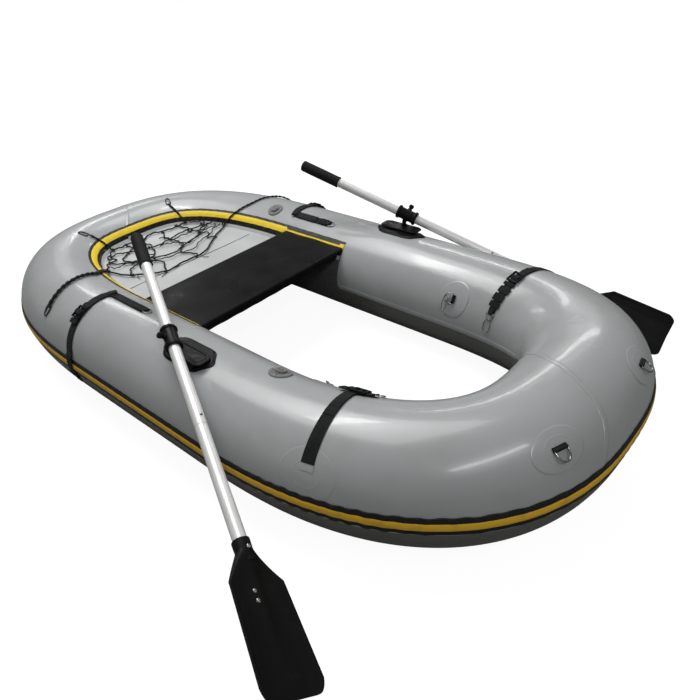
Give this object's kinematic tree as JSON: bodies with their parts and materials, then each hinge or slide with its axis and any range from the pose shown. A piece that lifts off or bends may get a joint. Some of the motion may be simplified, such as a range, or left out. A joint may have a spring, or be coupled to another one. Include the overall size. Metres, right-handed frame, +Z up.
{
  "type": "inflatable fishing boat",
  "caption": "Open inflatable boat: one round tube bent to an oval ring, cloth stern deck with net, board seat, straps with rings, and oars in swivelling locks.",
  "frame": {"origin": "midway between bow and stern on the centreline, on the plane that the tube stands on", "axes": "+X to the bow, +Y to port, +Z up"},
  "size_m": [2.2084, 1.7014, 0.5302],
  "materials": {
    "hull_fabric": "glossy coated cloth",
    "strake_rubber": "satin",
    "trim_fabric": "satin tape",
    "deck_fabric": "satin coated cloth",
    "net_cord": "braided",
    "seat_fabric": "satin coated cloth",
    "valve_plastic": "moulded",
    "black_webbing": "woven webbing",
    "black_plastic": "moulded",
    "ring_steel": "polished wire",
    "oar_aluminium": "drawn tube",
    "grip_rubber": "matte"
  },
  "bodies": {
    "hull": {"bow_bulkhead": "hull_fabric", "cargo_deck": "deck_fabric", "cargo_net": "net_cord", "port_bow_buckle": "black_plastic", "port_bow_patch": "hull_fabric", "port_bow_skin": "hull_fabric", "port_bow_strap": "black_webbing", "port_inner_patch": "hull_fabric", "port_oarlock_block": "black_plastic", "port_oarlock_pad": "black_plastic", "port_side_net_hook": "ring_steel", "port_stern_buckle": "black_plastic", "port_stern_net_hook": "ring_steel", "port_stern_skin": "hull_fabric", "port_stern_strap": "black_webbing", "port_valve_body": "valve_plastic", "rub_strake": "strake_rubber", "seat": "seat_fabric", "starboard_bow_buckle": "black_plastic", "starboard_bow_patch": "hull_fabric", "starboard_bow_skin": "hull_fabric", "starboard_bow_strap": "black_webbing", "starboard_inner_patch": "hull_fabric", "starboard_oarlock_block": "black_plastic", "starboard_oarlock_pad": "black_plastic", "starboard_side_net_hook": "ring_steel", "starboard_stern_buckle": "black_plastic", "starboard_stern_net_hook": "ring_steel", "starboard_stern_skin": "hull_fabric", "starboard_stern_strap": "black_webbing", "starboard_valve_body": "valve_plastic", "stern_bulkhead": "hull_fabric", "stern_trim": "trim_fabric"},
    "starboard_swivel": {"starboard_oarlock_post": "black_plastic"},
    "starboard_clamp": {"starboard_oar_clamp": "black_plastic"},
    "starboard_screw": {"starboard_thumb_screw": "black_plastic"},
    "starboard_oar": {"starboard_oar_grip": "grip_rubber", "starboard_oar_upper_shaft": "oar_aluminium", "starboard_oar_lower_shaft": "oar_aluminium", "starboard_oar_blade": "black_plastic"},
    "starboard_button": {"starboard_oar_button": "ring_steel"},
    "starboard_cap": {"starboard_valve_cap": "valve_plastic"},
    "starboard_bow_d_ring_body": {"starboard_bow_d_ring": "ring_steel"},
    "starboard_inner_d_ring_body": {"starboard_inner_d_ring": "ring_steel"},
    "starboard_bow_strap_ring_body": {"starboard_bow_strap_ring": "ring_steel"},
    "starboard_stern_strap_ring_body": {"starboard_stern_strap_ring": "ring_steel"},
    "port_swivel": {"port_oarlock_post": "black_plastic"},
    "port_clamp": {"port_oar_clamp": "black_plastic"},
    "port_screw": {"port_thumb_screw": "black_plastic"},
    "port_oar": {"port_oar_grip": "grip_rubber", "port_oar_upper_shaft": "oar_aluminium", "port_oar_lower_shaft": "oar_aluminium", "port_oar_blade": "black_plastic"},
    "port_button": {"port_oar_button": "ring_steel"},
    "port_cap": {"port_valve_cap": "valve_plastic"},
    "port_bow_d_ring_body": {"port_bow_d_ring": "ring_steel"},
    "port_inner_d_ring_body": {"port_inner_d_ring": "ring_steel"},
    "port_bow_strap_ring_body": {"port_bow_strap_ring": "ring_steel"},
    "port_stern_strap_ring_body": {"port_stern_strap_ring": "ring_steel"}
  },
  "joints": [
    {"name": "starboard_oarlock_swing", "type": "hinge", "parent": "hull", "child": "starboard_swivel", "pos_m": [0.104, -0.484, 0.3315], "axis": [0, 0, -1], "range_deg": [-8, 130]},
    {"name": "starboard_oar_tilt", "type": "hinge", "parent": "starboard_swivel", "child": "starboard_clamp", "pos_m": [0.104, -0.484, 0.341], "axis": [0.4384, 0.8988, 0], "range_deg": [-16, 10]},
    {"name": "starboard_thumb_screw_turn", "type": "hinge", "parent": "starboard_clamp", "child": "starboard_screw", "pos_m": [0.11019, -0.48702, 0.36968], "axis": [-0.1854, -0.7364, 0.6506], "continuous": true},
    {"name": "starboard_oar_slide", "type": "slide", "parent": "starboard_clamp", "child": "starboard_oar", "axis": [0.874, -0.4263, -0.2334], "range_m": [-0.1, 0.2]},
    {"name": "starboard_oar_button_press", "type": "slide", "parent": "starboard_oar", "child": "starboard_button", "axis": [-0.4009, -0.3608, -0.8421], "range_m": [0, 0.0042], "stiffness_N_per_m": 1200},
    {"name": "starboard_valve_cap_turn", "type": "hinge", "parent": "hull", "child": "starboard_cap", "pos_m": [0.37874, -0.37346, 0.31252], "axis": [-0.0122, 0.3253, 0.9455], "range_deg": [0, 90]},
    {"name": "starboard_bow_d_ring_swing", "type": "hinge", "parent": "hull", "child": "starboard_bow_d_ring_body", "pos_m": [1.02619, -0.23241, 0.3239], "axis": [-0.3757, -0.9268, 0], "range_deg": [-12, 145]},
    {"name": "starboard_inner_d_ring_swing", "type": "hinge", "parent": "hull", "child": "starboard_inner_d_ring_body", "pos_m": [0.45698, -0.27403, 0.24242], "axis": [0.0047, 0.4712, -0.882], "range_deg": [-8, 145]},
    {"name": "starboard_bow_strap_ring_swing", "type": "hinge", "parent": "hull", "child": "starboard_bow_strap_ring_body", "pos_m": [0.62704, -0.3103, 0.31918], "axis": [0.1806, -0.8473, 0.4994], "range_deg": [0, 145]},
    {"name": "starboard_stern_strap_ring_swing", "type": "hinge", "parent": "hull", "child": "starboard_stern_strap_ring_body", "pos_m": [-0.15084, -0.39615, 0.32128], "axis": [0, -0.9816, 0.1908], "range_deg": [0, 145]},
    {"name": "port_oarlock_swing", "type": "hinge", "parent": "hull", "child": "port_swivel", "pos_m": [0.1225, 0.484, 0.3315], "axis": [0, 0, 1], "range_deg": [0, 130]},
    {"name": "port_oar_tilt", "type": "hinge", "parent": "port_swivel", "child": "port_clamp", "pos_m": [0.1225, 0.484, 0.341], "axis": [-0.309, 0.9511, 0], "range_deg": [-22, 0]},
    {"name": "port_thumb_screw_turn", "type": "hinge", "parent": "port_clamp", "child": "port_screw", "pos_m": [0.13246, 0.48724, 0.36858], "axis": [-0.0037, 0.7802, 0.6255], "continuous": true},
    {"name": "port_oar_slide", "type": "slide", "parent": "port_clamp", "child": "port_oar", "axis": [0.8891, 0.2889, -0.3551], "range_m": [-0.1, 0.2]},
    {"name": "port_oar_button_press", "type": "slide", "parent": "port_oar", "child": "port_button", "axis": [-0.447, 0.3805, -0.8096], "range_m": [0, 0.0042], "stiffness_N_per_m": 1200},
    {"name": "port_valve_cap_turn", "type": "hinge", "parent": "hull", "child": "port_cap", "pos_m": [-0.40911, 0.37253, 0.31128], "axis": [0.0163, -0.3252, 0.9455], "range_deg": [0, 90]},
    {"name": "port_bow_d_ring_swing", "type": "hinge", "parent": "hull", "child": "port_bow_d_ring_body", "pos_m": [1.05205, 0.14109, 0.32696], "axis": [0.1732, -0.9849, 0], "range_deg": [-12, 145]},
    {"name": "port_inner_d_ring_swing", "type": "hinge", "parent": "hull", "child": "port_inner_d_ring_body", "pos_m": [0.45698, 0.27403, 0.24242], "axis": [-0.0047, 0.4712, 0.882], "range_deg": [-8, 145]},
    {"name": "port_bow_strap_ring_swing", "type": "hinge", "parent": "hull", "child": "port_bow_strap_ring_body", "pos_m": [0.59815, 0.25141, 0.25045], "axis": [-0.9687, 0.2483, 0], "range_deg": [0, 145]},
    {"name": "port_stern_strap_ring_swing", "type": "hinge", "parent": "hull", "child": "port_stern_strap_ring_body", "pos_m": [-0.1311, 0.37809, 0.3167], "axis": [0, -0.9537, -0.3007], "range_deg": [0, 145]}
  ]
}
